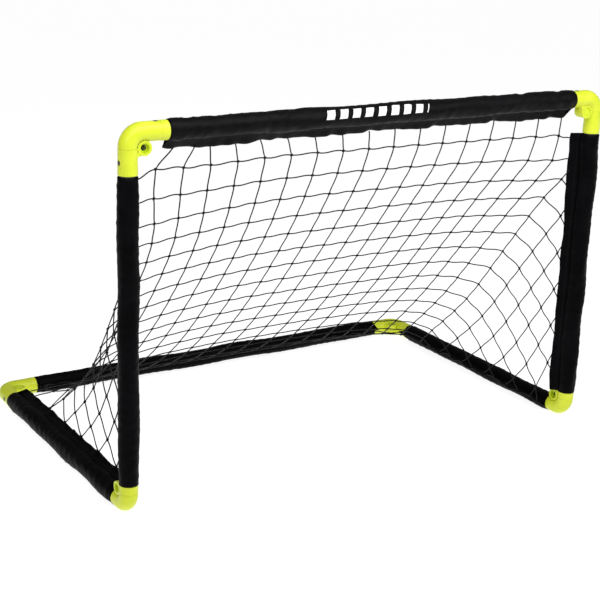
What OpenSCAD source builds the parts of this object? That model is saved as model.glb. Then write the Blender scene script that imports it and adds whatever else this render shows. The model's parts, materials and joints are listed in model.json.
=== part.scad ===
// Portable goal: a front frame of two posts and a crossbar, and a base frame of two
// side rails and a rear bar that folds up behind it on the two foot elbows.
// X runs along the goal mouth, -Y is the front, Z is up. The floor is z = 0.

/* [Goal] */
// Width over the post sleeves
overall_w = 900; // [800:10:1200]
// Height from the floor to the top of the crossbar sleeve
overall_h = 600; // [560:10:800]
// Depth from the front of the posts to the back of the rear bar
overall_d = 570; // [450:10:580]

/* [Tubes] */
// Outer diameter of the steel tubes
tube_d = 24; // [22:0.5:24]
// Wall of the steel tubes
tube_wall = 0.8; // [0.6:0.1:1.2]

/* [Elbows] */
// Outer diameter of the elbow legs
elbow_d = 28.6; // [28:0.1:28.8]
// Length of each elbow leg from the corner of the two axes
leg_len = 60; // [58:1:75]
// Radius of the bend, measured on the centre line
bend_r = 22; // [21:0.5:24]
// Extra diameter of the collar at the mouth of each leg
collar_step = 0.6; // [0.2:0.1:0.6]
// Length of that collar
collar_len = 12; // [6:1:15]
// Distance of each tube screw from the corner of the axes
screw_at = 42; // [40:1:48]

/* [Lock barrels] */
// Outer diameter of the hinge knuckles
knuckle_d = 22; // [21:0.5:22]
// Length of the whole barrel
barrel_len = 20; // [18:1:22]
// Outer diameter of the hollow hinge pin
pin_d = 17; // [16:0.5:17]
// Bore of the hinge pin
pin_bore_d = 13.6; // [13:0.1:13.8]
// Gap between the two halves of an elbow
split_gap = 0.3; // [0.3:0.05:0.6]
// Number of locking teeth gaps beside the barrel
teeth_gaps = 6; // [4:1:6]

/* [Sleeves] */
// Outer diameter of the fabric sleeves
sleeve_d = 30.6; // [30.6:0.1:31.4]
// Thickness of the sleeve fabric
sleeve_wall = 0.6; // [0.5:0.1:0.8]
// Distance of the tips of the posts' seam flaps from the tube axis
flap_reach = 31; // [26:1:31]
// Distance of the tips of the base frame's seam flaps from the tube axis
base_flap_reach = 30; // [26:1:31]
// Thickness of the seam flap
flap_t = 1.6; // [1.2:0.1:2]

/* [Net] */
// Thickness of the net
net_t = 1.2; // [1:0.1:2]
// Length of the net along its middle, from the crossbar to the rear bar
net_length = 739; // [735:1:760]
// Cells of the net surface across the goal
net_across = 18; // [12:2:20]
// Cells of the net surface from the crossbar to the rear bar
net_down = 20; // [12:2:22]

/* [Hidden] */
$fn = 64;
eps = 0.01;

// Tube axes
axis_x = (overall_w - sleeve_d) / 2;
axis_y = (overall_d - sleeve_d) / 2;
low_z = sleeve_d / 2;
top_z = overall_h - sleeve_d / 2;

// Each corner: the point where the tube axes meet, and the turn of its elbow. In the
// elbow's own frame x runs along the socket leg, y along the bend leg, and the open
// end of the barrel faces +z.
TOP_LEFT = [[-axis_x, -axis_y, top_z], [90, 90, 0]];
TOP_RIGHT = [[axis_x, -axis_y, top_z], [-90, 90, 0]];
FOOT_LEFT = [[-axis_x, -axis_y, low_z], [0, -90, 0]];
FOOT_RIGHT = [[axis_x, -axis_y, low_z], [0, -90, 0]];
REAR_LEFT = [[-axis_x, axis_y, low_z], [180, 0, 0]];
REAR_RIGHT = [[axis_x, axis_y, low_z], [0, 0, 180]];

// Elbows
elbow_r = elbow_d / 2;
collar_r = elbow_r + collar_step / 2;
collar_chamfer = 0.6;
socket_d = tube_d + 0.1;
socket_from = 30;
tube_end = socket_from + 0.3;
core_r = 7.5;
knuckle_r = knuckle_d / 2;
barrel_half = barrel_len / 2;
sweep_gap = 0.4;
pin_fit = 0.05;
web_reach = 34;
mark_w = 0.6;
mark_depth = 0.5;
mark_offset = 3.6;

// Teeth gaps round the barrel, in the elbow's own frame
tooth_first = 153;
tooth_step = 21;
tooth_w = 1.8;
tooth_tip_r = knuckle_r + 2.3;
tooth_floor_z = 7.5;

// Tube screws
seat_r = 13.1;
recess_d = 8.8;
head_d = 7;
head_h = 1.1;
shank_d = 3.8;
shank_to_r = 8;
shank_hole_d = 4;
cross_l = 4.2;
cross_w = 0.9;
cross_depth = 0.7;

// Button, its spring and the spring seat, measured along the barrel
lip_d = 12.4;
lip_len = 1.4;
countersink_d = 14.6;
countersink_len = 1;
button_flange_d = 13.4;
button_boss_d = 12.2;
button_face_z = -barrel_half + 0.6;
button_flange_z = -barrel_half + lip_len + 0.1;
button_end_z = -5.5;
button_floor_z = -barrel_half + 3;
button_bore_d = 10.6;
seat_z = 4.2;
seat_t = 0.8;
seat_bore_d = 8.6;
spring_wire_d = 0.9;
spring_mean_r = 4.6;
spring_turns = 6;
spring_rings_per_turn = 14;
spring_sides = 6;

// Sleeves: where each one starts, measured from its corner
sleeve_r = sleeve_d / 2;
sleeve_bore_r = sleeve_r - sleeve_wall;
floor_flat_w = 12;
cover_foot_rail = 36;
cover_foot_left = 36;
cover_foot_right = 34.6;
clear_top = 63;
clear_crossbar_left = 61;
cover_crossbar_right = 51;
cover_rail_rear = 57;
clear_rear_left = 62;
cover_rear_right = 58;
crossbar_flap_angle = -65;
crossbar_flap_reach = 34;
post_flap_angle = 45;
left_rail_flap_angle = 35;
right_rail_flap_angle = 12;
rear_flap_angle = 12;
flap_root = 13;

// Net edges: each runs just clear of the tip of a seam flap
edge_gap = 0.8;
post_edge = flap_reach + net_t + edge_gap;
base_edge = base_flap_reach + net_t + edge_gap;
top_edge = crossbar_flap_reach + net_t + edge_gap;
net_top_y = -axis_y + top_edge * cos(crossbar_flap_angle);
net_top_z = top_z + top_edge * sin(crossbar_flap_angle);
net_post_x = axis_x - post_edge * cos(post_flap_angle);
net_post_y = -axis_y + post_edge * sin(post_flap_angle);
net_left_x = -axis_x + base_edge * cos(left_rail_flap_angle);
net_left_z = low_z + base_edge * sin(left_rail_flap_angle);
net_right_x = axis_x - base_edge * cos(right_rail_flap_angle);
net_right_z = low_z + base_edge * sin(right_rail_flap_angle);
net_rear_y = axis_y - base_edge * cos(rear_flap_angle);
net_rear_z = low_z + base_edge * sin(rear_flap_angle);
net_rear_x = axis_x - bend_r - knuckle_r - 5;

// The corners of the net, left side and right side: crossbar, foot, rear
NET_LEFT = [
    [-net_post_x, net_top_y, net_top_z], [net_left_x, net_post_y, net_left_z],
    [-net_rear_x, net_rear_y, net_rear_z]
];
NET_RIGHT = [
    [net_post_x, net_top_y, net_top_z], [net_right_x, net_post_y, net_right_z],
    [net_rear_x, net_rear_y, net_rear_z]
];

// Flat cut of the net: a band across the goal with a three-cornered ear on each side,
// measured down the net from the crossbar
ear_from = 103;
ear_tip = 379;
ear_to = 655;
band_half = 397;
ear_half = 661;
post_share = 0.2;
rail_share = 0.81;
net_settle_steps = 130;
net_drop = 1;
net_pull = 0.3;
net_floor_gap = 6;

module at_corner(corner) {
    translate(corner[0]) rotate(corner[1]) children();
}

// ---- elbows ----

module leg_outside(from) {
    rotate([0, 90, 0]) {
        translate([0, 0, from]) cylinder(r = elbow_r, h = leg_len - from);
        translate([0, 0, leg_len - collar_len])
            cylinder(r = collar_r, h = collar_len - collar_chamfer);
        translate([0, 0, leg_len - collar_chamfer])
            cylinder(r1 = collar_r, r2 = collar_r - collar_chamfer, h = collar_chamfer);
    }
}

module leg_inside(from) {
    rotate([0, 90, 0]) {
        translate([0, 0, socket_from]) cylinder(d = socket_d, h = leg_len);
        translate([0, 0, from - eps]) cylinder(r = core_r, h = socket_from - from + 1);
    }
}

// A recess with a hole for the tube screw, on the -y side of a leg along x
module screw_recess() {
    translate([screw_at, 0, 0]) rotate([90, 0, 0]) {
        translate([0, 0, seat_r]) cylinder(d = recess_d, h = elbow_r);
        cylinder(d = shank_hole_d, h = elbow_r);
    }
}

module knuckle(from, to, r) {
    translate([bend_r, bend_r, from]) cylinder(r = r, h = to - from);
}

// Web that ties a knuckle to the leg along x
module web(from, to) {
    translate([0, 0, from]) linear_extrude(to - from) polygon([
        [bend_r + split_gap / 2, core_r + 3], [web_reach, core_r + 3],
        [web_reach, elbow_r - 2], [bend_r + knuckle_r * cos(-20), bend_r + knuckle_r * sin(-20)],
        [bend_r + split_gap / 2, bend_r]
    ]);
}

module teeth_cut() {
    for (i = [0 : teeth_gaps - 1])
        translate([bend_r, bend_r, tooth_floor_z]) rotate(tooth_first + i * tooth_step)
            translate([knuckle_r - 1, -tooth_w / 2, 0])
                cube([tooth_tip_r - knuckle_r + 1, tooth_w, elbow_r]);
}

// Lining-up mark on the socket half, beside the split
module lining_mark() {
    translate([bend_r + mark_offset, 0, 0]) rotate([0, 90, 0]) difference() {
        cylinder(r = elbow_r + 1, h = mark_w);
        translate([0, 0, -1]) cylinder(r = elbow_r - mark_depth, h = mark_w + 2);
        translate([-elbow_r - 2, -elbow_r - 2, -1]) cube([elbow_d + 4, elbow_d - 3, mark_w + 2]);
    }
}

module elbow_socket(corner) {
    from = bend_r + split_gap / 2;
    color([0.93, 0.95, 0.12]) at_corner(corner) difference() {
        union() {
            leg_outside(from);
            knuckle(split_gap / 2, barrel_half, knuckle_r);
            web(split_gap / 2, barrel_half - 1);
        }
        leg_inside(from);
        screw_recess();
        lining_mark();
        knuckle(-elbow_r - 1, split_gap / 2, knuckle_r + sweep_gap);
        knuckle(0, barrel_half + 1, pin_d / 2 + pin_fit);
    }
}

module elbow_bend(corner) {
    color([0.93, 0.95, 0.12]) at_corner(corner) difference() {
        union() {
            mirror([1, -1, 0]) leg_outside(bend_r);
            translate([bend_r, bend_r, 0]) rotate([0, 0, 180]) difference() {
                rotate_extrude(angle = 90) translate([bend_r, 0]) circle(r = elbow_r);
                translate([0, bend_r, 0]) translate([-eps, -elbow_r - 1, -elbow_r - 1])
                    cube([split_gap / 2 + eps, elbow_d + 2, elbow_d + 2]);
            }
            knuckle(-barrel_half, -split_gap / 2, knuckle_r);
            mirror([1, -1, 0]) web(1 - barrel_half, -split_gap / 2);
        }
        translate([bend_r, bend_r, 0]) rotate([0, 0, 180])
            rotate_extrude(angle = 90) translate([bend_r, 0]) circle(r = core_r);
        mirror([1, -1, 0]) leg_inside(bend_r);
        mirror([1, -1, 0]) screw_recess();
        teeth_cut();
        knuckle(-split_gap / 2, elbow_r + 1, knuckle_r + sweep_gap);
        knuckle(-barrel_half - 1, 0, pin_d / 2 + pin_fit);
    }
}

// ---- barrels ----

module hinge_pin(corner) {
    color([0.88, 0.92, 0.15]) at_corner(corner) translate([bend_r, bend_r, 0]) difference() {
        translate([0, 0, -barrel_half]) cylinder(d = pin_d, h = barrel_len);
        translate([0, 0, lip_len - barrel_half]) cylinder(d = pin_bore_d, h = barrel_len);
        translate([0, 0, -barrel_half - 1]) cylinder(d = lip_d, h = barrel_len);
        translate([0, 0, -barrel_half - eps])
            cylinder(d1 = countersink_d, d2 = lip_d, h = countersink_len);
    }
}

module button(corner) {
    color([0.82, 0.9, 0.1]) at_corner(corner) translate([bend_r, bend_r, 0]) difference() {
        union() {
            translate([0, 0, button_face_z])
                cylinder(d1 = button_boss_d - 1, d2 = button_boss_d, h = 0.5);
            translate([0, 0, button_face_z + 0.5])
                cylinder(d = button_boss_d, h = button_flange_z - button_face_z);
            translate([0, 0, button_flange_z])
                cylinder(d = button_flange_d, h = button_end_z - button_flange_z);
        }
        translate([0, 0, button_floor_z]) cylinder(d = button_bore_d, h = barrel_len);
    }
}

// One ring of points round the wire, at t from 0 to 1 along the coil
function wire_ring(t, z0, z1) = let (
    a = 360 * spring_turns * t,
    middle = [spring_mean_r * cos(a), spring_mean_r * sin(a), z0 + (z1 - z0) * t]
) [for (k = [0 : spring_sides - 1]) let (b = 360 * k / spring_sides) middle
    + spring_wire_d / 2 * [cos(a) * cos(b), sin(a) * cos(b), sin(b)]];

module coil_spring(corner) {
    rings = spring_turns * spring_rings_per_turn;
    z0 = button_floor_z + spring_wire_d / 2 + 0.02;
    z1 = seat_z - spring_wire_d / 2 - 0.02;
    n = spring_sides;
    points = [for (i = [0 : rings]) each wire_ring(i / rings, z0, z1)];
    sides = [for (i = [0 : rings - 1], k = [0 : n - 1]) let (m = (k + 1) % n)
        [i * n + k, (i + 1) * n + k, (i + 1) * n + m, i * n + m]];
    start_cap = [for (k = [0 : n - 1]) k];
    end_cap = [for (k = [n - 1 : -1 : 0]) rings * n + k];
    color("silver") at_corner(corner) translate([bend_r, bend_r, 0])
        polyhedron(points, concat(sides, [start_cap, end_cap]));
}

module spring_seats(corners) {
    color([0.75, 0.82, 0.1]) for (corner = corners) at_corner(corner)
        translate([bend_r, bend_r, seat_z]) difference() {
            cylinder(d = pin_bore_d, h = seat_t);
            translate([0, 0, -1]) cylinder(d = seat_bore_d, h = seat_t + 2);
        }
}

// ---- tubes and their screws ----

// A tube from one point to another along one axis; turn lays its z along that axis
module tube(start, turn, length, cut_corners) {
    color([0.12, 0.12, 0.13]) difference() {
        translate(start) rotate(turn) difference() {
            cylinder(d = tube_d, h = length);
            translate([0, 0, -1]) cylinder(d = tube_d - 2 * tube_wall, h = length + 2);
        }
        for (cut = cut_corners) at_corner(cut[0])
            if (cut[1] == "socket") screw_hole(); else mirror([1, -1, 0]) screw_hole();
    }
}

module screw_hole() {
    translate([screw_at, 0, 0]) rotate([90, 0, 0]) cylinder(d = shank_hole_d, h = elbow_d);
}

module tube_screw() {
    translate([screw_at, 0, 0]) rotate([90, 0, 0]) difference() {
        union() {
            translate([0, 0, seat_r]) cylinder(d = head_d, h = head_h - 0.4);
            translate([0, 0, seat_r + head_h - 0.4])
                cylinder(d1 = head_d, d2 = head_d - 1.2, h = 0.4);
            translate([0, 0, shank_to_r]) cylinder(d = shank_d, h = seat_r - shank_to_r + eps);
        }
        for (turn = [45, 135]) translate([0, 0, seat_r + head_h - cross_depth])
            rotate(turn) translate([-cross_l / 2, -cross_w / 2, 0])
                cube([cross_l, cross_w, 1]);
    }
}

module tube_screws(socket_corners, bend_corners) {
    color([0.1, 0.1, 0.1]) {
        for (corner = socket_corners) at_corner(corner) tube_screw();
        for (corner = bend_corners) at_corner(corner) mirror([1, -1, 0]) tube_screw();
    }
}

module crossbar_tube() tube([-axis_x + tube_end, -axis_y, top_z], [0, 90, 0],
    2 * (axis_x - tube_end), [[TOP_LEFT, "bend"], [TOP_RIGHT, "bend"]]);
module left_post_tube() tube([-axis_x, -axis_y, low_z + tube_end], [0, 0, 0],
    top_z - low_z - 2 * tube_end, [[TOP_LEFT, "socket"], [FOOT_LEFT, "socket"]]);
module right_post_tube() tube([axis_x, -axis_y, low_z + tube_end], [0, 0, 0],
    top_z - low_z - 2 * tube_end, [[TOP_RIGHT, "socket"], [FOOT_RIGHT, "socket"]]);
module left_rail_tube() tube([-axis_x, -axis_y + tube_end, low_z], [-90, 0, 0],
    2 * (axis_y - tube_end), [[FOOT_LEFT, "bend"], [REAR_LEFT, "bend"]]);
module right_rail_tube() tube([axis_x, -axis_y + tube_end, low_z], [-90, 0, 0],
    2 * (axis_y - tube_end), [[FOOT_RIGHT, "bend"], [REAR_RIGHT, "bend"]]);
module rear_bar_tube() tube([-axis_x + tube_end, axis_y, low_z], [0, 90, 0],
    2 * (axis_x - tube_end), [[REAR_LEFT, "socket"], [REAR_RIGHT, "socket"]]);

// ---- sleeves ----

// Section of a sleeve with its seam flap at flap_angle; flat_side is the direction
// of the floor, or undef where the sleeve is off the floor
module sleeve_section(flap_angle, reach, flat_side) {
    difference() {
        union() {
            circle(r = sleeve_r);
            rotate(flap_angle) translate([flap_root, -flap_t / 2])
                square([reach - flap_root, flap_t]);
            if (flat_side != undef) rotate(flat_side)
                translate([0, -floor_flat_w / 2]) square([sleeve_r, floor_flat_w]);
        }
        circle(r = sleeve_bore_r);
    }
}

// Lays a section along x: its first axis becomes +y and its second +z
module along_x(from, to) {
    translate([from, 0, 0]) rotate([90, 0, 90]) linear_extrude(to - from) children();
}

// Lays a section along y: its first axis becomes +x and its second +z
module along_y(from, to) {
    translate([0, to, 0]) rotate([90, 0, 0]) linear_extrude(to - from) children();
}

module sleeve_colour() {
    color([0.06, 0.06, 0.07]) children();
}

module crossbar_sleeve() sleeve_colour() translate([0, -axis_y, top_z])
    along_x(-axis_x + clear_crossbar_left, axis_x - cover_crossbar_right)
        sleeve_section(crossbar_flap_angle, crossbar_flap_reach, undef);

function cover_foot(side) = side < 0 ? cover_foot_left : cover_foot_right;

module post_sleeve(side) sleeve_colour()
    translate([side * axis_x, -axis_y, low_z + cover_foot(side)])
        linear_extrude(top_z - low_z - cover_foot(side) - clear_top)
            sleeve_section(side < 0 ? post_flap_angle : 180 - post_flap_angle,
                flap_reach, undef);

module rail_sleeve(side) sleeve_colour() translate([side * axis_x, 0, low_z])
    along_y(-axis_y + cover_foot_rail, axis_y - cover_rail_rear)
        sleeve_section(side < 0 ? left_rail_flap_angle : 180 - right_rail_flap_angle,
            base_flap_reach, -90);

module rear_bar_sleeve() sleeve_colour() translate([0, axis_y, low_z])
    along_x(-axis_x + clear_rear_left, axis_x - cover_rear_right)
        sleeve_section(180 - rear_flap_angle, base_flap_reach, -90);

// ---- net ----

function between(a, b, t) = a * (1 - t) + b * t;

// The sewn edge down one side, at b down the net: down the post, then back on the rail
function side_edge(corners, b) =
    b < ear_from ? between(corners[0], corners[1], post_share * b / ear_from)
    : b < ear_tip ? between(corners[0], corners[1],
        between(post_share, 1, (b - ear_from) / (ear_tip - ear_from)))
    : b < ear_to ? between(corners[1], corners[2],
        rail_share * (b - ear_tip) / (ear_to - ear_tip))
    : between(corners[1], corners[2],
        between(rail_share, 1, (b - ear_to) / (net_length - ear_to)));

// Half the width of the flat cut, at b down the net
function flat_half(b) = b < ear_from || b > ear_to ? band_half
    : b < ear_tip ? between(band_half, ear_half, (b - ear_from) / (ear_tip - ear_from))
    : between(ear_half, band_half, (b - ear_tip) / (ear_to - ear_tip));

function down(j) = net_length * j / net_down;
function flat_point(j, i) = [flat_half(down(j)) * (2 * i / net_across - 1), down(j)];

// A point of the straight slope, at u across and b down
function slope_point(u, b) = between(
    between(NET_LEFT[0], NET_RIGHT[0], u), between(NET_LEFT[2], NET_RIGHT[2], u),
    b / net_length);

// The ears reach from the slope to the sewn edge
function ear_point(corners, end, b, across) = between(slope_point(end, b),
    side_edge(corners, b), (abs(across) - band_half) / (flat_half(b) - band_half));

function first_point(p) =
    abs(p[0]) <= band_half ? slope_point((1 + p[0] / band_half) / 2, p[1])
    : p[0] < 0 ? ear_point(NET_LEFT, 0, p[1], p[0]) : ear_point(NET_RIGHT, 1, p[1], p[0]);

function first_net() = [for (j = [0 : net_down]) [for (i = [0 : net_across])
    j == 0 || j == net_down ? first_point(flat_point(j, i))
    : i == 0 ? side_edge(NET_LEFT, down(j))
    : i == net_across ? side_edge(NET_RIGHT, down(j))
    : first_point(flat_point(j, i))]];

// Pull towards a neighbour, by as much as the strand between them is too long
function pull(p, q, cut) = let (gap = norm(q - p))
    gap > cut ? (q - p) * (1 - cut / gap) : [0, 0, 0];

function off_floor(p) = [p[0], p[1], max(p[2], net_floor_gap)];

// Every free knot drops a little and is pulled back by the strands round it
function settle(g, rows, slants, step) = step == 0 ? g : settle(
    [for (j = [0 : net_down]) [for (i = [0 : net_across])
        i == 0 || i == net_across || j == 0 || j == net_down ? g[j][i]
        : off_floor(g[j][i] - [0, 0, net_drop * step / net_settle_steps] + net_pull * (
            pull(g[j][i], g[j][i - 1], rows[j]) + pull(g[j][i], g[j][i + 1], rows[j])
            + pull(g[j][i], g[j - 1][i], slants[j - 1][i])
            + pull(g[j][i], g[j + 1][i], slants[j][i])))]],
    rows, slants, step - 1);

function unit(v) = v / norm(v);

function net_normal(g, j, i) = unit(cross(
    g[j][min(i + 1, net_across)] - g[j][max(i - 1, 0)],
    g[min(j + 1, net_down)][i] - g[max(j - 1, 0)][i]));

module net() {
    rows = [for (j = [0 : net_down]) norm(flat_point(j, 1) - flat_point(j, 0))];
    slants = [for (j = [0 : net_down - 1]) [for (i = [0 : net_across])
        norm(flat_point(j + 1, i) - flat_point(j, i))]];
    g = settle(first_net(), rows, slants, net_settle_steps);
    row = net_across + 1;
    layer = row * (net_down + 1);
    points = [for (side = [1, -1]) each [for (j = [0 : net_down], i = [0 : net_across])
        g[j][i] + side * net_t / 2 * net_normal(g, j, i)]];
    quads = [for (j = [0 : net_down - 1], i = [0 : net_across - 1]) let (p = j * row + i)
        [p, p + 1, p + 1 + row, p + row]];
    upper = [for (q = quads) each [[q[2], q[1], q[0]], [q[3], q[2], q[0]]]];
    lower = [for (q = quads) each [
        [q[0] + layer, q[1] + layer, q[2] + layer], [q[0] + layer, q[2] + layer, q[3] + layer]]];
    rim = concat(
        [for (i = [0 : net_across - 1]) [i, i + 1]],
        [for (j = [0 : net_down - 1]) [j * row + net_across, (j + 1) * row + net_across]],
        [for (i = [net_across : -1 : 1]) [net_down * row + i, net_down * row + i - 1]],
        [for (j = [net_down : -1 : 1]) [j * row, (j - 1) * row]]);
    rim_faces = [for (e = rim) each [
        [e[0], e[1], e[1] + layer], [e[0], e[1] + layer, e[0] + layer]]];
    color([0.08, 0.08, 0.09]) polyhedron(points, concat(upper, lower, rim_faces));
}

crossbar_tube();
left_post_tube();
right_post_tube();
left_rail_tube();
right_rail_tube();
rear_bar_tube();
elbow_socket(TOP_LEFT);  // top_left_elbow_socket
elbow_bend(TOP_LEFT);  // top_left_elbow_bend
elbow_socket(TOP_RIGHT);  // top_right_elbow_socket
elbow_bend(TOP_RIGHT);  // top_right_elbow_bend
elbow_socket(FOOT_LEFT);  // foot_left_elbow_socket
elbow_bend(FOOT_LEFT);  // foot_left_elbow_bend
elbow_socket(FOOT_RIGHT);  // foot_right_elbow_socket
elbow_bend(FOOT_RIGHT);  // foot_right_elbow_bend
elbow_socket(REAR_LEFT);  // rear_left_elbow_socket
elbow_bend(REAR_LEFT);  // rear_left_elbow_bend
elbow_socket(REAR_RIGHT);  // rear_right_elbow_socket
elbow_bend(REAR_RIGHT);  // rear_right_elbow_bend
hinge_pin(TOP_LEFT);  // top_left_hinge_pin
hinge_pin(TOP_RIGHT);  // top_right_hinge_pin
hinge_pin(FOOT_LEFT);  // foot_left_hinge_pin
hinge_pin(FOOT_RIGHT);  // foot_right_hinge_pin
hinge_pin(REAR_LEFT);  // rear_left_hinge_pin
hinge_pin(REAR_RIGHT);  // rear_right_hinge_pin
button(TOP_LEFT);  // top_left_button
button(TOP_RIGHT);  // top_right_button
button(FOOT_LEFT);  // foot_left_button
button(FOOT_RIGHT);  // foot_right_button
button(REAR_LEFT);  // rear_left_button
button(REAR_RIGHT);  // rear_right_button
coil_spring(TOP_LEFT);  // top_left_spring
coil_spring(TOP_RIGHT);  // top_right_spring
coil_spring(FOOT_LEFT);  // foot_left_spring
coil_spring(FOOT_RIGHT);  // foot_right_spring
coil_spring(REAR_LEFT);  // rear_left_spring
coil_spring(REAR_RIGHT);  // rear_right_spring
spring_seats([TOP_LEFT, TOP_RIGHT]);  // front_spring_seats
spring_seats([FOOT_LEFT, FOOT_RIGHT, REAR_LEFT, REAR_RIGHT]);  // base_spring_seats
tube_screws([TOP_LEFT, TOP_RIGHT, FOOT_LEFT, FOOT_RIGHT], [TOP_LEFT, TOP_RIGHT]);  // front_tube_screws
tube_screws([REAR_LEFT, REAR_RIGHT],  // base_tube_screws
    [FOOT_LEFT, FOOT_RIGHT, REAR_LEFT, REAR_RIGHT]);
crossbar_sleeve();
post_sleeve(-1);  // left_post_sleeve
post_sleeve(1);  // right_post_sleeve
rail_sleeve(-1);  // left_rail_sleeve
rail_sleeve(1);  // right_rail_sleeve
rear_bar_sleeve();
net();
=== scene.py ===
import json
import math

import bmesh
import bpy
import numpy as np
from mathutils import Matrix, Vector


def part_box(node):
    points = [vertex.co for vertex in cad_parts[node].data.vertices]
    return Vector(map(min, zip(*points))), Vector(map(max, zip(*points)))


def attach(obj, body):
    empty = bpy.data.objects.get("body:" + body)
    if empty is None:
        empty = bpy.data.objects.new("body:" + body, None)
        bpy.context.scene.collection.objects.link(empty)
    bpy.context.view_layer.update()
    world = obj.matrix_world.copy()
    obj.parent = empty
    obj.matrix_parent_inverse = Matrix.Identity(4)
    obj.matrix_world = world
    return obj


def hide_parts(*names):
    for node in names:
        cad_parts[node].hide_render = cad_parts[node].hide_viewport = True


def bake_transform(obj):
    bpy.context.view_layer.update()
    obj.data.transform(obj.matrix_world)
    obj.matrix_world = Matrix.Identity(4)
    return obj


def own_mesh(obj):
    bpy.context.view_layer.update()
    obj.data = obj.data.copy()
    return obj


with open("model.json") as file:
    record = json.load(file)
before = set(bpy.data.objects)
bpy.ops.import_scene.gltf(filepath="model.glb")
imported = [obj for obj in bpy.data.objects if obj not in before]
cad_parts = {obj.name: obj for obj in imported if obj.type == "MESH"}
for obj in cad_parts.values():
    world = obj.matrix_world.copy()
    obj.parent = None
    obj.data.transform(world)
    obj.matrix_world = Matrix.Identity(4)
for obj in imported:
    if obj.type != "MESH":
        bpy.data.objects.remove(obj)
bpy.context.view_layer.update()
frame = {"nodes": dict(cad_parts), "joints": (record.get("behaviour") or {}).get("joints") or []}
CORNERS = ("top_left", "top_right", "foot_left", "foot_right", "rear_left", "rear_right")


# ---- measures taken from the frame, in metres ----

def middle(node):
    low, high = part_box(node)
    return (low + high) / 2


POST_X = middle("right_post_tube").x
FRONT_Y = middle("left_post_tube").y
REAR_Y = middle("rear_bar_tube").y
LOW_Z = middle("rear_bar_tube").z
TOP_Z = middle("crossbar_tube").z
FOLD = next(j for j in frame["joints"] if j["name"] == "base_fold")
FOLD_Y, FOLD_Z = FOLD["pos_m"][1], FOLD["pos_m"][2]


# ---- finishes ----

class Value:
    """A socket whose value or colour can be used in Python expressions."""

    def __init__(self, finish, socket):
        self.finish, self.socket = finish, socket

    def math(self, operation, *others):
        return self.finish.node("ShaderNodeMath", dict(operation=operation),
                                {i: v for i, v in enumerate((self,) + others)})[0]

    def __add__(self, other): return self.math("ADD", other)
    def __sub__(self, other): return self.math("SUBTRACT", other)
    def __mul__(self, other): return self.math("MULTIPLY", other)
    def __gt__(self, other): return self.math("GREATER_THAN", other)
    def __lt__(self, other): return self.math("LESS_THAN", other)
    def __neg__(self): return self * -1
    def __abs__(self): return self.math("ABSOLUTE")
    def __radd__(self, other): return self + other
    def __rmul__(self, other): return self * other
    def __rsub__(self, other): return -self + other

    def sine(self): return self.math("SINE")
    def wrap(self, low, high): return self.math("WRAP", high, low)

    def ramp(self, low, high):
        """0 below low, 1 above high, smooth between."""
        return self.finish.node("ShaderNodeMapRange", dict(interpolation_type="SMOOTHSTEP"),
                                {"Value": self, "From Min": low, "From Max": high})["Result"]


class Outputs:
    """A node's outputs, each as a Value."""

    def __init__(self, finish, made):
        self.finish, self.made = finish, made

    def __getitem__(self, key):
        return Value(self.finish, self.made.outputs[key])


class Finish:
    """One material, made of nodes."""

    def __init__(self, name, **sockets):
        self.material = bpy.data.materials.new(name)
        self.material.use_nodes = True
        self.tree = self.material.node_tree
        self.body = self.tree.nodes["Principled BSDF"]
        self.set(**sockets)

    def node(self, kind, settings=None, sockets=None):
        made = self.tree.nodes.new(kind)
        for name, value in (settings or {}).items():
            setattr(made, name, value)
        for key, value in (sockets or {}).items():
            self.plug(made.inputs[key], value)
        return Outputs(self, made)

    def plug(self, inlet, value):
        if isinstance(value, Value):
            self.tree.links.new(value.socket, inlet)
        else:
            inlet.default_value = value

    def set(self, **sockets):
        for name, value in sockets.items():
            self.plug(self.body.inputs[name.replace("_", " ")], value)
        return self

    def place(self):
        """The point's own place on its piece, in metres."""
        return self.node("ShaderNodeTexCoord")["Object"]

    def attribute(self, name):
        return self.node("ShaderNodeAttribute", dict(attribute_name=name))["Fac"]

    def parts(self, vector):
        split = self.node("ShaderNodeSeparateXYZ", sockets={"Vector": vector})
        return split["X"], split["Y"], split["Z"]

    def scaled(self, vector, scale):
        return self.node("ShaderNodeVectorMath", dict(operation="MULTIPLY"),
                         {0: vector, 1: scale})["Vector"]

    def cloud(self, vector, scale, detail=3.0, roughness=0.5):
        return self.node("ShaderNodeTexNoise", sockets={
            "Vector": vector, "Scale": scale, "Detail": detail, "Roughness": roughness})["Fac"]

    def mix(self, share, a, b):
        return self.node("ShaderNodeMix", dict(data_type="RGBA"),
                         {0: share, 6: a, 7: b})[2]

    def bumps(self, height, distance, strength=1.0, under=None):
        sockets = {"Height": height, "Distance": distance, "Strength": strength}
        if under is not None:
            sockets["Normal"] = under
        return self.node("ShaderNodeBump", sockets=sockets)["Normal"]


def moulded_plastic(name, bright, deep, roughness):
    """Satin moulded plastic: faint flow clouding, fine grain, light rub marks."""
    f = Finish(name, Specular_IOR_Level=0.28, Coat_Roughness=0.25, IOR=1.49)
    place = f.place()
    flow = f.cloud(place, 38.0, 4.0)
    grain = f.cloud(place, 2600.0, 2.0)
    rub = f.cloud(f.scaled(place, (1.0, 1.0, 6.0)), 160.0, 5.0, 0.7).ramp(0.62, 0.78)
    f.set(Base_Color=f.mix(flow.ramp(0.3, 0.7), (*deep, 1), (*bright, 1)),
          Roughness=roughness + 0.08 * (flow - 0.5) + 0.10 * rub,
          Coat_Weight=0.06 + 0.06 * (flow - 0.5),
          Normal=f.bumps(grain * 0.6 + rub * 0.4, 0.00006, 0.5))
    return f.material


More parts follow.
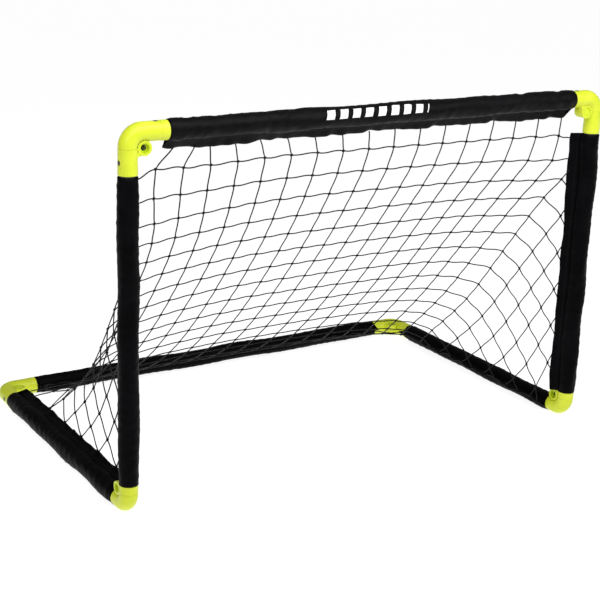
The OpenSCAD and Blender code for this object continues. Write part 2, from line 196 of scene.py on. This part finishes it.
def coated_steel(name, shade, roughness, orange_peel=0.5):
    """Black powder coat, or black oxide on the small screws."""
    f = Finish(name, Specular_IOR_Level=0.5)
    place = f.place()
    peel = f.cloud(place, 1500.0, 2.0)
    dust = f.cloud(place, 60.0, 5.0, 0.65).ramp(0.5, 0.8)
    f.set(Base_Color=f.mix(dust, (shade, shade, shade * 1.04, 1),
                           (shade * 2.4, shade * 2.4, shade * 2.5, 1)),
          Roughness=roughness + 0.15 * dust,
          Normal=f.bumps(peel, 0.00005, orange_peel))
    return f.material


def drawn_wire(name):
    """Bright steel wire with fine lines along it."""
    f = Finish(name, Metallic=1.0)
    place = f.place()
    lines = f.cloud(f.scaled(place, (1.0, 1.0, 30.0)), 900.0, 3.0)
    f.set(Base_Color=f.mix(lines, (0.52, 0.53, 0.55, 1), (0.82, 0.82, 0.83, 1)),
          Roughness=0.2 + 0.18 * lines, Normal=f.bumps(lines, 0.00003, 0.4))
    return f.material


WEAVE = 0.0011            # from thread to thread of the sleeves' cloth
STITCH = 0.0036           # from stitch to stitch of the seam
STITCH_SHARE = 0.62       # how much of that is thread on top
STITCH_HALF = 0.0006      # half the width of the stitched line
BAR_STEP = 0.0235         # from bar to bar of the printed row
BAR_SHARE = 0.60
BAR_HALF = 0.0075         # half the height of the bars
BAR_SLANT = 0.35


def sleeve_cloth(name, gloss, printed=None):
    """Black woven polyester: fine plain weave, soft sheen, dusty folds, sewn seam by the net.
    printed = (first x, last x) puts a row of plain white slanted bars on it."""
    f = Finish(name, Specular_IOR_Level=gloss)
    along, around = f.attribute("along"), f.attribute("around")
    place = f.place()
    weave = (along * (2 * math.pi / WEAVE)).sine() * (around * (2 * math.pi / WEAVE)).sine()
    slub = f.cloud(place, 520.0, 3.0, 0.6)
    wear = f.cloud(place, 22.0, 5.0, 0.6)
    puckers = f.cloud(place, 95.0, 3.0, 0.55)
    stitch = (((along * (1 / STITCH)).wrap(0.0, 1.0) < STITCH_SHARE)
              * (abs(f.attribute("seam")) < STITCH_HALF))
    cloth = f.mix(wear.ramp(0.35, 0.75), (0.0011, 0.0011, 0.0015, 1), (0.0028, 0.0028, 0.0036, 1))
    cloth = f.mix(slub.ramp(0.55, 0.75) * 0.4, cloth, (0.005, 0.005, 0.006, 1))
    cloth = f.mix(stitch * 0.8, cloth, (0.009, 0.009, 0.0105, 1))
    rough = 0.36 + 0.14 * wear + 0.05 * (slub - 0.5)
    if printed:
        first, last = printed
        rise = f.attribute("print_up")
        band = abs(rise) < BAR_HALF
        slant = f.parts(place)[0] - BAR_SLANT * rise
        bar = ((((slant - first) * (1 / BAR_STEP)).wrap(0.0, 1.0) < BAR_SHARE)
               * (slant > first) * (slant < last))
        ink = band * bar * (1.0 - 0.25 * slub.ramp(0.62, 0.72))
        cloth = f.mix(ink, cloth, (0.80, 0.80, 0.79, 1))
        rough = rough - 0.1 * ink
    normal = f.bumps(puckers, 0.0011, 0.55)
    normal = f.bumps(weave * 0.5 + slub * 0.5 + stitch * 1.5, 0.00012, 0.55, normal)
    f.set(Base_Color=cloth, Roughness=rough, Normal=normal)
    return f.material


TWIST = 0.0042            # from turn to turn of the twine's lay


def net_twine(name):
    """Twisted polyethylene twine, black, a little shiny, with a painted highlight: its colour is lighter
    on the crowns of its strands.
    """
    f = Finish(name, Specular_IOR_Level=0.25)
    along, around = f.attribute("along"), f.attribute("around")
    twist = (along * (2 * math.pi / TWIST) + around * 3.0).sine()
    fuzz = f.cloud(f.place(), 900.0, 3.0, 0.6)
    # colour: painted highlight on the crowns of the twist, mixed with a random fuzz tone
    f.set(Base_Color=f.mix(twist.ramp(-1.0, 1.0) * 0.6 + fuzz * 0.4,
                           (0.0015, 0.0015, 0.0018, 1), (0.006, 0.006, 0.007, 1)),
          Roughness=0.5 + 0.2 * fuzz,
          Normal=f.bumps(twist * 0.7 + fuzz * 0.3, 0.0002, 0.7))
    return f.material


elbow_plastic = moulded_plastic("elbow_plastic", (0.70, 0.77, 0.040), (0.62, 0.71, 0.024), 0.34)
# the pins and spring seats are a greener plastic, set darker than the elbows' as painted shade of the
# barrel and its hollow
pin_plastic = moulded_plastic("pin_plastic", (0.62, 0.74, 0.022), (0.52, 0.65, 0.015), 0.38)
button_plastic = moulded_plastic("button_plastic", (0.68, 0.79, 0.026), (0.60, 0.71, 0.018), 0.32)
tube_steel = coated_steel("tube_powder_coat", 0.012, 0.38)
screw_steel = coated_steel("screw_black_oxide", 0.02, 0.30, 0.2)
spring_wire = drawn_wire("spring_wire")
twine = net_twine("net_twine")
cloth_plain = sleeve_cloth("sleeve_cloth", 0.03)
cloth_printed = sleeve_cloth("sleeve_cloth_printed", 0.08, (-0.115, 0.075))
PRINT_ANGLE = 26.0        # how far the printed row sits above the crossbar's foremost line, degrees


def dress(node, material):
    """Gives a node of the frame its finish."""
    slots = frame["nodes"][node].data.materials
    slots.clear()
    slots.append(material)


DRESSES = {"_tube": tube_steel, "_socket": elbow_plastic, "_bend": elbow_plastic,
           "_button": button_plastic, "_hinge_pin": pin_plastic, "_spring_seats": pin_plastic,
           "_screws": screw_steel, "_spring": spring_wire}
for node in frame["nodes"]:
    for ending, material in DRESSES.items():
        if node.endswith(ending):
            dress(node, material)


# ---- mesh making ----

def new_mesh(name, points, faces, material, floats=None):
    """A smooth-shaded piece; floats are named values, one for each point."""
    mesh = bpy.data.meshes.new(name)
    mesh.from_pydata([tuple(p) for p in points], [], faces)
    mesh.polygons.foreach_set("use_smooth", [True] * len(mesh.polygons))
    for key, values in (floats or {}).items():
        attribute = mesh.attributes.new(key, "FLOAT", "POINT")
        attribute.data.foreach_set("value", np.asarray(values, np.float32))
    mesh.materials.append(material)
    mesh.update()
    piece = bpy.data.objects.new(name, mesh)
    bpy.context.scene.collection.objects.link(piece)
    return piece


def waves(seed, terms, low, high):
    """A smooth random function of (along, around): a sum of slanted waves."""
    rng = np.random.default_rng(seed)
    parts = []
    for _ in range(terms):
        length = math.exp(rng.uniform(math.log(low), math.log(high)))
        turns = rng.integers(-3, 4)
        parts.append((2 * math.pi / length, turns, rng.uniform(0, 2 * math.pi), rng.uniform(0.5, 1)))

    def at(s, angle):
        total = sum(a * np.sin(k * s + m * angle + p) for k, m, p, a in parts)
        return total / math.sqrt(sum(a * a for *_, a in parts) / 2)
    return at


# ---- sleeves ----

ROUND_POINTS = 60         # round the tube
FLAP_POINTS = 7           # out along each face of the seam flap
RING_STEP = 0.0038        # from ring to ring along the sleeve
LINING_RINGS = 12
BORE = 0.01468            # inside of the lining, just clear of the tube
LEAST_R = 0.01478         # the cloth's outside is never under this
END_R = 0.01475           # and is drawn in to this at its ends
FLAP_ROOT = 0.13          # half the angle that the flap takes up on the tube, radians
FLAP_HALF = 0.0011        # half the flap's thickness
FLAP_LEAST = 0.0175
SEAM_OUT = 0.0045         # how far out on the flap the stitches run
OFF_SEAM, OFF_PRINT = 0.01, 0.05    # values that keep stitches and print off a point
GROUND_GAP = 0.0002


def curled_in(root, share):
    """Half the flap's thickness, running smoothly out of the round part."""
    half = FLAP_HALF + (root - FLAP_HALF) * (1 - share) ** 2.6
    half[-1] = FLAP_HALF * 0.7
    return half


def sleeve(name, node, body, start, end, flap, reach, radius, seed, material,
           tips=(), creases=(), rests=False):
    """A fabric tube from start to end round a steel tube, with its seam flap towards flap.
    tips gives the flap's reach at each place along, creases = (place, width, depth) pinches,
    rests flattens the underside where it lies on the ground."""
    start, end, flap = Vector(start), Vector(end), Vector(flap).normalized()
    axis = (end - start).normalized()
    side = axis.cross(flap)
    length = (end - start).length
    s = np.unique(np.concatenate([np.linspace(0, length, max(60, int(length / RING_STEP))),
                                  [place for place, _ in tips if place < length]]))
    rings = len(s)
    slow, quick = waves(seed, 9, 0.10, 0.30), waves(seed + 1, 14, 0.025, 0.07)
    fine, edge = waves(seed + 2, 16, 0.010, 0.022), waves(seed + 3, 10, 0.03, 0.2)
    round_angles = np.linspace(FLAP_ROOT, 2 * math.pi - FLAP_ROOT, ROUND_POINTS)
    out = np.linspace(0, 1, FLAP_POINTS + 1)[1:]
    reach_at = np.interp(s, *zip(*(tips or [(0, reach)])))
    near_end = np.minimum(s, length - s)
    hem = np.exp(-((near_end - 0.006) / 0.004) ** 2)
    taper = np.clip(near_end / 0.010, 0, 1) ** 0.5
    rows, along, around, seam = [], [], [], []
    for k in range(rings):
        pinch = sum(d * math.exp(-((s[k] - at) / w) ** 2) for at, w, d in creases)
        loose = 1.0 + 240 * abs(pinch)
        r = radius + 0.0007 * slow(s[k], round_angles) * taper[k]
        folds = 0.00042 * (1 - 2 * np.abs(np.tanh(quick(s[k], round_angles))))
        r = r + loose * (folds + 0.00010 * fine(s[k], round_angles)) * taper[k]
        r = r - pinch * (1 + 0.5 * np.cos(round_angles * 2 + s[k] * 60))
        r = r - 0.0006 * hem[k] - (1 - taper[k]) * (radius - END_R) * 0.8
        r = np.maximum(r, LEAST_R)
        tip = max(FLAP_LEAST, (reach_at[k] + 0.0005 * edge(s[k], 0.0)) * (1.0 - 0.05 * (1 - taper[k])))
        root = r[0] * math.cos(FLAP_ROOT)
        flap_u = root + (tip - root) * out
        upper = curled_in(r[0] * math.sin(FLAP_ROOT), out)
        lower = -curled_in(r[-1] * math.sin(FLAP_ROOT), out)
        bend = 0.0016 * edge(s[k], 1.3) * out ** 2 + 0.0006 * np.sin(s[k] * 260 + out * 2) * out
        # round the tube from the flap's upper side to its lower, out along the lower face and back
        profile_u = np.concatenate([r * np.cos(round_angles), flap_u[:-1], [tip + 0.0004], flap_u[::-1]])
        profile_v = np.concatenate([r * np.sin(round_angles),
                                    (lower + bend)[:-1], [bend[-1]], (upper + bend)[::-1]])
        centre = start + axis * s[k]
        ring = [centre + flap * u + side * v for u, v in zip(profile_u, profile_v)]
        rows.append(ring)
        around.extend(np.concatenate([round_angles * radius,
                                      np.linspace(0.10, 0.13, len(ring) - ROUND_POINTS)]))
        along.extend([s[k]] * len(ring))
        seam.extend(np.where(np.arange(len(ring)) >= ROUND_POINTS,
                             profile_u - (radius + SEAM_OUT), OFF_SEAM))
    count = len(rows[0])
    points = [p for ring in rows for p in ring]
    faces = [(k * count + m, k * count + (m + 1) % count,
              (k + 1) * count + (m + 1) % count, (k + 1) * count + m)
             for k in range(rings - 1) for m in range(count)]
    # the lining, and the turned-in ends that join it to the outside
    inner = len(points)
    lining = np.linspace(0, length, LINING_RINGS)
    for place in lining:
        centre = start + axis * place
        for m in range(count):
            a = 2 * math.pi * m / count + FLAP_ROOT * 0.5
            points.append(centre + flap * math.cos(a) * BORE + side * math.sin(a) * BORE)
    for k in range(len(lining) - 1):
        for m in range(count):
            a, b = inner + k * count + m, inner + k * count + (m + 1) % count
            faces.append((b, a, a + count, b + count))
    last_in = inner + (len(lining) - 1) * count
    last_out = (rings - 1) * count
    lead = ring_match(rows[0], points[inner:inner + count])
    for m in range(count):
        n = (m + 1) % count
        m_in, n_in = (m + lead) % count, (n + lead) % count
        faces.append((n, m, inner + m_in, inner + n_in))
        faces.append((last_out + m, last_out + n, last_in + n_in, last_in + m_in))
    for values, fill in ((along, 0.0), (around, 0.0), (seam, OFF_SEAM)):
        values.extend([fill] * (len(points) - inner))
    points = np.array([tuple(p) for p in points])
    if rests:
        points[:, 2] = np.maximum(points[:, 2], GROUND_GAP)
    print_up = np.full(len(points), OFF_PRINT)
    if node == "crossbar_sleeve":
        angle = np.arctan2(points[:inner, 2] - TOP_Z, FRONT_Y - points[:inner, 1])
        print_up[:inner] = (angle - math.radians(PRINT_ANGLE)) * radius
    piece = new_mesh(name, points, faces, material,
                     {"along": along, "around": around, "seam": seam, "print_up": print_up})
    tidy_normals(piece)
    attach(piece, body)
    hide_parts(node)
    return piece


def ring_match(outer, inner):
    """How many points the inner ring is turned against the outer one."""
    return int(np.argmin([(outer[0] - p).length for p in inner]))


def tidy_normals(piece):
    """Turns every face outwards."""
    b = bmesh.new()
    b.from_mesh(piece.data)
    bmesh.ops.recalc_face_normals(b, faces=b.faces)
    b.to_mesh(piece.data)
    b.free()


def span(node, axis):
    low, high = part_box(node)
    return low[axis], high[axis]


def direction(degrees, out, up):
    """The way that is turned so far from out towards up."""
    a = math.radians(degrees)
    return Vector(out) * math.cos(a) + Vector(up) * math.sin(a)


BACK, UP, FRONT = (0, 1, 0), (0, 0, 1), (0, -1, 0)


def inwards(sign):
    """From the side piece on the left (-1) or right (1) to the middle of the goal."""
    return (-sign, 0, 0)


# which way each sleeve's seam flap stands out from its tube
TOP_FLAP = direction(-65, BACK, UP)
REAR_FLAP = direction(12, FRONT, UP)
POST_FLAP = {sign: direction(45, inwards(sign), BACK) for sign in (-1, 1)}
RAIL_FLAP = {-1: direction(35, inwards(-1), UP), 1: direction(12, inwards(1), UP)}

x0, x1 = span("crossbar_sleeve", 0)
sleeve("crossbar_cover", "crossbar_sleeve", "front_frame",
       (x0, FRONT_Y, TOP_Z), (x1, FRONT_Y, TOP_Z), TOP_FLAP, 0.034, 0.0163, 11, cloth_printed,
       tips=[(0, 0.0345), (0.05, 0.0355), (0.10, 0.034), (0.3, 0.033), (0.5, 0.0335),
             (0.7, 0.0355), (0.735, 0.0365), (0.757, 0.0380), (0.79, 0.0380)],
       creases=[(0.03, 0.012, 0.0008), (0.080, 0.005, 0.0024), (0.16, 0.006, 0.0013),
                (0.208, 0.009, 0.0014), (0.60, 0.014, 0.0009), (0.649, 0.008, 0.0016),
                (0.727, 0.007, 0.0022)])
for hand, sign, seed in (("left", -1, 21), ("right", 1, 31)):
    x = sign * POST_X
    node = f"{hand}_post_sleeve"
    z0, z1 = span(node, 2)
    sleeve(f"{hand}_post_cover", node, "front_frame", (x, FRONT_Y, z0), (x, FRONT_Y, z1),
           POST_FLAP[sign], 0.031, 0.0159, seed, cloth_plain,
           tips=[(0, 0.031), (0.3, 0.0315), (0.42, 0.0345), (0.48, 0.0355)])
    node = f"{hand}_rail_sleeve"
    y0, y1 = span(node, 1)
    sleeve(f"{hand}_rail_cover", node, "base_frame", (x, y0, LOW_Z), (x, y1, LOW_Z),
           RAIL_FLAP[sign], 0.030, 0.0157, seed + 5, cloth_plain, rests=True)
x0, x1 = span("rear_bar_sleeve", 0)
sleeve("rear_bar_cover", "rear_bar_sleeve", "base_frame", (x0, REAR_Y, LOW_Z), (x1, REAR_Y, LOW_Z),
       REAR_FLAP, 0.030, 0.0156, 51, cloth_plain, rests=True)


# ---- net ----

MESH = 0.04427     # strand from knot to knot down the net
ACROSS = 0.04384   # and across it
ROWS = 16
COLUMNS = 17       # between the hems; the ears of the net have more
MIDDLE = 8         # the middle column
COLUMN_STEP = 0.0451    # along the rear bar's hem
EAR_COLUMNS = 6
TWINE_R = 0.00105
KNOT_TWINE_R = 0.0010
ROUNDING = 0.35    # how far a strand runs smoothly through its knots, 0 to 1
# where the strands of the ears meet the hems: first place and step, down a post and back on a rail
POST_KNOTS = (0.1273, 0.0672)
RAIL_KNOTS = {-1: (0.3250, 0.0700), 1: (0.3381, 0.0684)}
POST_END_KNOTS = {1: 0.074, 2: 0.108}
RAIL_END_KNOTS = {15: 0.446, 16: 0.472}
LEAST_BACK = 0.044     # no strand is sewn on in front of the rail's sleeve
# how far out from the tubes' middles the hems are
TOP_HEM, POST_HEM, LOW_HEM = 0.0322, 0.0300, 0.0288
# the cut lengths of the first and last pieces of the columns, and of the rows by the corners
FIRST_CUT, LAST_CUT = 0.0362, 0.0375
CORNER_CUTS = {1: 0.0302, 2: 0.0322, 15: 0.0322, 16: 0.0302}
# where the columns are sewn to the crossbar's hem, which isn't quite even
TOP_KNOTS = (-0.357, -0.322, -0.298, -0.256, -0.213, -0.166, -0.118, -0.068, -0.018,
             0.031, 0.081, 0.131, 0.181, 0.230, 0.277, 0.326, 0.377)


def last_column(j):
    """The column furthest right that row j reaches."""
    return max(16, min(j + 14, 31 - j)) if 1 < j < 16 else 16


def top_edge(x):
    out = TOP_FLAP * TOP_HEM
    return np.array([x, FRONT_Y + out.y, TOP_Z + out.z])


def rear_edge(x):
    out = REAR_FLAP * LOW_HEM
    return np.array([x, REAR_Y + out.y, LOW_Z + out.z])


def post_edge(sign, down):
    out = POST_FLAP[sign] * POST_HEM
    return np.array([sign * POST_X + out.x, FRONT_Y + out.y, TOP_Z - down])


def rail_edge(sign, back):
    out = RAIL_FLAP[sign] * LOW_HEM
    return np.array([sign * POST_X + out.x, FRONT_Y + max(back, LEAST_BACK), LOW_Z + out.z])


def post_knot(k):
    return POST_KNOTS[0] + POST_KNOTS[1] * k


def rail_knot(sign, k):
    return RAIL_KNOTS[sign][0] - RAIL_KNOTS[sign][1] * k


def side_cut(i, j):
    """The last piece of a strand, from its last knot to the hem; the left side is sewn up tighter."""
    return (0.0186 if i > MIDDLE else 0.0050) + (0.0032 if j > ROWS / 2 else 0.0)


def make_net_plan():
    """Knots, the points sewn to the sleeves, and the strands with their cut lengths."""
    index, points, sewn, strands = {}, [], [], []

    def add(key, point, fixed):
        index[key] = len(points)
        points.append(point)
        sewn.append(fixed)

    def first_guess(i, j):
        x = COLUMN_STEP * (i - MIDDLE)
        t = (j - 0.37) / (ROWS + 0.03)
        inside = min(max(x, -0.4), 0.4)
        p = top_edge(inside) * (1 - t) + rear_edge(inside) * t
        beyond = abs(i - MIDDLE) - MIDDLE
        if beyond > 0.5:
            p = p + np.array([0, -0.69, -0.72]) * 0.046 * (beyond - 0.5)
            p[0] = math.copysign(0.405, x)
        return p

    for j in range(1, ROWS + 1):
        for i in range(16 - last_column(j), last_column(j) + 1):
            add((i, j), first_guess(i, j), False)
    for i, j in list(index):
        if (i + 1, j) in index:
            strands.append(((i, j), (i + 1, j), ACROSS, "row"))
        if (i, j + 1) in index:
            strands.append(((i, j), (i, j + 1), MESH, "column"))
    for i in range(COLUMNS):
        add(("start", i), top_edge(TOP_KNOTS[i]), True)
        add(("end", i), rear_edge(COLUMN_STEP * (i - MIDDLE)), True)
        strands.append((("start", i), (i, 1), FIRST_CUT, "column"))
        strands.append(((i, ROWS), ("end", i), LAST_CUT, "column"))
    for k in range(COLUMNS, COLUMNS + EAR_COLUMNS):
        for sign, i in ((1, k), (-1, 16 - k)):
            add(("start", i), post_edge(sign, post_knot(k - 17)), True)
            add(("end", i), rail_edge(sign, rail_knot(sign, k - 18)), True)
            strands.append((("start", i), (i, k - 14), side_cut(i, k - 14), "column"))
            strands.append(((i, 31 - k), ("end", i), side_cut(i, 31 - k), "column"))
    for j in range(1, ROWS + 1):
        for sign, i in ((1, last_column(j)), (-1, 16 - last_column(j))):
            if j <= 8:
                point = post_edge(sign, POST_END_KNOTS.get(j) or post_knot(j - 2.5))
            else:
                point = rail_edge(sign, RAIL_END_KNOTS.get(j) or rail_knot(sign, 13.5 - j))
            cut = CORNER_CUTS.get(j) or side_cut(i, j)
            add(("side", sign, j), point, True)
            pair = ((i, j), ("side", sign, j))
            strands.append((pair if sign > 0 else pair[::-1]) + (cut, "row"))
    return index, np.array(points), np.array(sewn), strands


def hang_net(index, points, sewn, strands, steps=160, weight=0.00003):
    """Lets the knots drop until the strands, which don't stretch, hold them."""
    a = np.array([index[s[0]] for s in strands])
    b = np.array([index[s[1]] for s in strands])
    cut = np.array([s[2] for s in strands])
    share_a = np.where(sewn[a], 0, np.where(sewn[b], 1, 0.5))
    share_b = np.where(sewn[b], 0, np.where(sewn[a], 1, 0.5))
    x, speed = points.copy(), np.zeros_like(points)
    for _ in range(steps):
        before = x.copy()
        x = x + speed
        x[~sewn, 2] -= weight
        for _ in range(6):
            gap = x[b] - x[a]
            far = np.linalg.norm(gap, axis=1)
            over = np.maximum(far - cut, 0) / far
            move, count = np.zeros_like(x), np.zeros(len(x))
            np.add.at(move, a, (share_a * over)[:, None] * gap)
            np.add.at(move, b, -(share_b * over)[:, None] * gap)
            np.add.at(count, a, over > 0)
            np.add.at(count, b, over > 0)
            x = x + 1.6 * move / np.maximum(count, 1)[:, None]
            x[sewn] = points[sewn]
        speed = (x - before) * 0.9
    return x


def unit(way):
    return way / np.linalg.norm(way)


def tube_along(path, radius, sides, store):
    """Adds one strand of twine along the points of path."""
    path = np.asarray(path)
    tangent = np.gradient(path, axis=0)
    tangent /= np.linalg.norm(tangent, axis=1)[:, None]
    reference = np.array([0.31, 0.47, 0.83])    # any way that no strand runs
    place = np.concatenate([[0], np.cumsum(np.linalg.norm(np.diff(path, axis=0), axis=1))])
    base = len(store["points"])
    for k, (p, t) in enumerate(zip(path, tangent)):
        u = unit(np.cross(t, reference))
        v = np.cross(t, u)
        for m in range(sides):
            angle = 2 * math.pi * m / sides
            store["points"].append(p + radius * (math.cos(angle) * u + math.sin(angle) * v))
            store["along"].append(place[k])
            store["around"].append(angle)
    for k in range(len(path) - 1):
        for m in range(sides):
            n = (m + 1) % sides
            a = base + k * sides
            store["faces"].append((a + m, a + n, a + sides + n, a + sides + m))
    store["faces"].append(tuple(base + m for m in range(sides - 1, -1, -1)))
    last = base + (len(path) - 1) * sides
    store["faces"].append(tuple(last + m for m in range(sides)))


def knot_at(p, across, down, store, rng):
    """Two turns of twine drawn tight round each other."""
    normal = unit(np.cross(across, down))
    for turn, size in ((0.9, 0.0017), (-0.75, 0.0015)):
        tilt = turn + rng.uniform(-0.25, 0.25)
        u = across * math.cos(tilt) + down * math.sin(tilt)
        u = unit(u)
        v = unit(normal + 0.5 * down)
        base, ring, sides = len(store["points"]), 9, 5
        centre = p + u * rng.uniform(-0.0003, 0.0003)
        axis = np.cross(u, v)
        for k in range(ring):
            a = 2 * math.pi * k / ring
            out = u * math.cos(a) * 1.15 + v * math.sin(a)
            for m in range(sides):
                b = 2 * math.pi * m / sides
                store["points"].append(centre + out * size
                                       + (out * math.cos(b) + axis * math.sin(b)) * KNOT_TWINE_R)
                store["along"].append(a * size)
                store["around"].append(b)
        for k in range(ring):
            for m in range(sides):
                k2, n = (k + 1) % ring, (m + 1) % sides
                store["faces"].append((base + k * sides + m, base + k2 * sides + m,
                                       base + k2 * sides + n, base + k * sides + n))


def make_net():
    index, points, sewn, strands = make_net_plan()
    x = hang_net(index, points, sewn, strands)
    rng = np.random.default_rng(7)
    store = {"points": [], "faces": [], "along": [], "around": []}

    def at(key):
        return x[index[key]]

    def line(keys, kind):
        """One whole strand through its knots, with the set that the knots leave in it."""
        knots = [at(k) for k in keys]
        path = []
        for k in range(len(knots) - 1):
            p, q = knots[k], knots[k + 1]
            before = knots[max(k - 1, 0)]
            after = knots[min(k + 2, len(knots) - 1)]
            t0, t1 = (q - before) * 0.5, (after - p) * 0.5
            if k == 0:
                t0 = q - p
            if k == len(knots) - 2:
                t1 = q - p
            t0, t1 = ((1 - ROUNDING) * (q - p) + ROUNDING * t for t in (t0, t1))
            apart = np.linalg.norm(q - p)
            steps, wave = (8, 0.0014) if kind == "row" else (5, 0.0005)
            way = (q - p) / apart
            other = side_way(keys[k], keys[k + 1], kind, at, index)
            other = other - way * (other @ way)
            other /= max(np.linalg.norm(other), 1e-6)
            size = wave * min(apart / 0.044, 1) * rng.uniform(0.7, 1.25)
            for m in range(steps):
                t = m / steps
                h = np.array([2 * t ** 3 - 3 * t ** 2 + 1, t ** 3 - 2 * t ** 2 + t,
                              -2 * t ** 3 + 3 * t ** 2, t ** 3 - t ** 2])
                point = h[0] * p + h[1] * t0 + h[2] * q + h[3] * t1
                path.append(point + other * size * math.sin(2 * math.pi * t))
        path.append(knots[-1])
        tube_along(path, TWINE_R, 6, store)

    for j in range(1, ROWS + 1):
        last = last_column(j)
        line([("side", -1, j)] + [(i, j) for i in range(16 - last, last + 1)] + [("side", 1, j)], "row")
    for i in range(-EAR_COLUMNS, COLUMNS + EAR_COLUMNS):
        inside = sorted(j for j in range(1, ROWS + 1) if (i, j) in index)
        line([("start", i)] + [(i, j) for j in inside] + [("end", i)], "column")

    def through(key, *beside):
        """The way a strand runs through a knot, from the knots beside it."""
        near = [at(n) for n in beside if n in index]
        return unit(near[1] - near[0] if len(near) == 2 else near[0] - at(key))

    for key in index:
        if not isinstance(key[0], str):
            i, j = key
            knot_at(at(key), through(key, (i - 1, j), (i + 1, j)), through(key, (i, j - 1), (i, j + 1)),
                    store, rng)
    piece = new_mesh("goal_net", store["points"], store["faces"], twine,
                     {"along": store["along"], "around": store["around"]})
    tidy_normals(piece)
    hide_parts("net")
    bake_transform(piece)
    # each point's angle round the fold line, worked out but not used
    co = np.array([v.co for v in piece.data.vertices])
    angle = np.arctan2(co[:, 2] - FOLD_Z, co[:, 1] - FOLD_Y)
    return piece


def side_way(a, b, kind, at, index):
    """The direction in the net's surface that a strand's set bends it to."""
    for key in (a, b):
        if isinstance(key[0], str):
            continue
        i, j = key
        pair = ((i, j + 1), (i, j - 1)) if kind == "row" else ((i + 1, j), (i - 1, j))
        if pair[0] in index:
            return at(pair[0]) - at(key)
        if pair[1] in index:
            return at(key) - at(pair[1])
    return np.array([0.0, 0.0, -1.0])


make_net()


# ---- springs, copied from the frame onto the front and base frames ----

for corner in CORNERS:
    node = f"{corner}_spring"
    source = frame["nodes"][node]
    coil = bpy.data.objects.new(f"{corner}_return_spring", source.data.copy())
    bpy.context.scene.collection.objects.link(coil)
    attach(coil, "front_frame" if corner[0] == "t" else "base_frame")
    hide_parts(node)
    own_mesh(coil)


# ---- floor, light and camera ----

def make_floor():
    f = Finish("floor_paint", Roughness=0.75, Specular_IOR_Level=0.2,
               Emission_Color=(1, 1, 1, 1), Emission_Strength=0.90)
    tone = f.cloud(f.place(), 1.5, 3.0)
    f.set(Base_Color=f.mix(tone, (0.30, 0.30, 0.30, 1), (0.32, 0.32, 0.32, 1)))
    half, below = 14.0, -0.0004
    corners = [(-half, -half, below), (half, -half, below), (half, half, below), (-half, half, below)]
    new_mesh("studio_floor", corners, [(0, 1, 2, 3)], f.material)


def light(name, place, target, size, power):
    lamp = bpy.data.lights.new(name, "AREA")
    lamp.shape, lamp.size, lamp.size_y, lamp.energy = "RECTANGLE", size[0], size[1], power
    lit = bpy.data.objects.new(name, lamp)
    bpy.context.scene.collection.objects.link(lit)
    lit.location = place
    lit.rotation_euler = (Vector(target) - Vector(place)).to_track_quat("-Z", "Y").to_euler()


make_floor()
light("overhead_softbox", (-0.1, -0.9, 1.5), (0, -0.25, 0.6), (1.8, 1.0), 20)
light("left_softbox", (-1.9, -1.5, 1.5), (-0.3, -0.2, 0.7), (0.8, 0.8), 8)
light("right_softbox", (1.5, -1.7, 1.6), (0.3, -0.2, 0.6), (0.8, 0.8), 7)

# the backdrop is white to the camera, but lights the goal with less than that
AMBIENT = 0.24
world = bpy.data.worlds.new("studio")
world.use_nodes = True
backdrop = world.node_tree.nodes["Background"]
backdrop.inputs["Color"].default_value = (1, 1, 1, 1)
seen = world.node_tree.nodes.new("ShaderNodeLightPath")
level = world.node_tree.nodes.new("ShaderNodeMapRange")
level.inputs["To Min"].default_value, level.inputs["To Max"].default_value = AMBIENT, 1.0
world.node_tree.links.new(seen.outputs["Is Camera Ray"], level.inputs["Value"])
world.node_tree.links.new(level.outputs["Result"], backdrop.inputs["Strength"])
bpy.context.scene.world = world
bpy.context.scene.view_settings.view_transform = "Standard"
bpy.context.scene.view_settings.look = "None"

EYE = (-1.2454, -2.0266, 0.9513)
TURN, LIFT, TILT = math.radians(-32.116), math.radians(17.396), math.radians(2.007)
lens = bpy.data.cameras.new("camera")
lens.lens, lens.sensor_width, lens.clip_start, lens.clip_end = 83.87, 36.0, 0.05, 60.0
camera = bpy.data.objects.new("camera", lens)
bpy.context.scene.collection.objects.link(camera)
back = Vector((math.sin(TURN) * math.cos(LIFT), -math.cos(TURN) * math.cos(LIFT), math.sin(LIFT)))
level_right = Vector(UP).cross(back).normalized()
level_up = back.cross(level_right)
right = level_right * math.cos(TILT) + level_up * math.sin(TILT)
up = level_up * math.cos(TILT) - level_right * math.sin(TILT)
camera.matrix_world = Matrix.Translation(EYE) @ Matrix((right, up, back)).transposed().to_4x4()
bpy.context.scene.camera = camera
